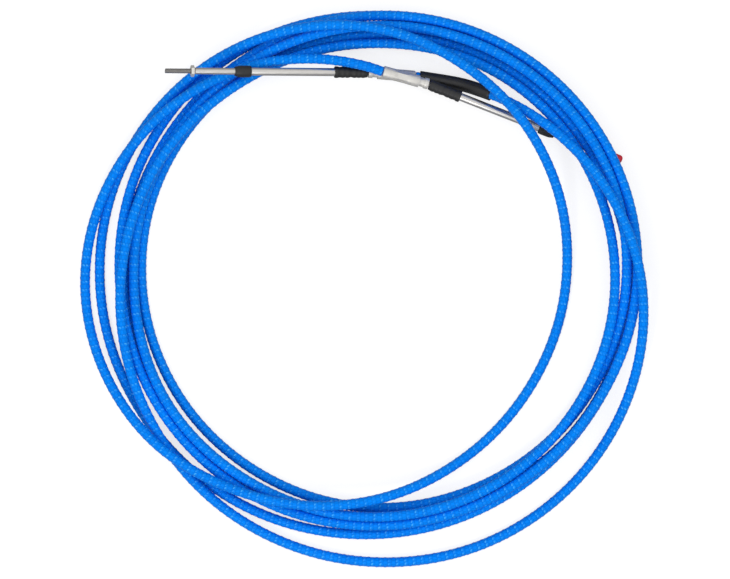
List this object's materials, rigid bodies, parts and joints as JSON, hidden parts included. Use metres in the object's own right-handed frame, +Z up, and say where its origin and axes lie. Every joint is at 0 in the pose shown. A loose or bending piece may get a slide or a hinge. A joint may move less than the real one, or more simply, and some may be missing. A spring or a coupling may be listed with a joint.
{
  "type": "boat engine control cable",
  "caption": "Coiled push-pull control cable with a ribbed jacket, a swivelling sleeve and a sliding threaded rod at each end, a jam nut, wiper seals, a label sleeve and a thread cap.",
  "frame": {"origin": "middle of the lying coil's bounding box, on the floor that it lies on", "axes": "+Z up out of the flat coil, +X to the right and +Y away, as the picture shows the coil from above; rod A points along -X and slightly up"},
  "size_m": [0.5326, 0.5228, 0.0573],
  "materials": {
    "jacket": "glossy blue extruded plastic with a fine wound relief",
    "label": "satin black wrap label, blank",
    "hub": "satin plated metal",
    "sleeve": "polished stainless tube",
    "rod": "bright steel rod with a darker thread",
    "rubber": "matt black rubber",
    "nut": "pale zinc plate",
    "cap": "soft red vinyl"
  },
  "bodies": {
    "cable": {"cable_jacket": "jacket", "label_sleeve": "label", "hub_a": "hub", "hub_b": "hub"},
    "sleeve_a": {"sleeve_tube_a": "sleeve", "boot_a": "rubber", "wiper_seal_a": "rubber"},
    "rod_a": {"push_rod_a": "rod", "jam_nut_a": "nut"},
    "sleeve_b": {"sleeve_tube_b": "sleeve", "boot_b": "rubber", "wiper_seal_b": "rubber"},
    "rod_b": {"push_rod_b": "rod", "jam_nut_b": "nut", "thread_cap_b": "cap"}
  },
  "joints": [
    {"name": "sleeve_a_swivel", "type": "hinge", "parent": "cable", "child": "sleeve_a", "pos_m": [0.00637, 0.20311, 0.0143], "axis": [0, 1, 0], "range_deg": [0, 3]},
    {"name": "rod_a_slide", "type": "slide", "parent": "sleeve_a", "child": "rod_a", "axis": [-0.9781, 0, 0.2079], "range_m": [-0.0381, 0.0381]},
    {"name": "sleeve_b_swivel", "type": "hinge", "parent": "cable", "child": "sleeve_b", "pos_m": [0.05848, 0.1927, 0.01899], "axis": [0, 0, 1], "range_deg": [0, 2]},
    {"name": "rod_b_slide", "type": "slide", "parent": "sleeve_b", "child": "rod_b", "axis": [0.93, -0.3626, -0.061], "range_m": [-0.0381, 0.0381]}
  ],
  "couplings": [
    {"joint": "rod_b_slide", "follows": "rod_a_slide", "ratio": -1}
  ]
}
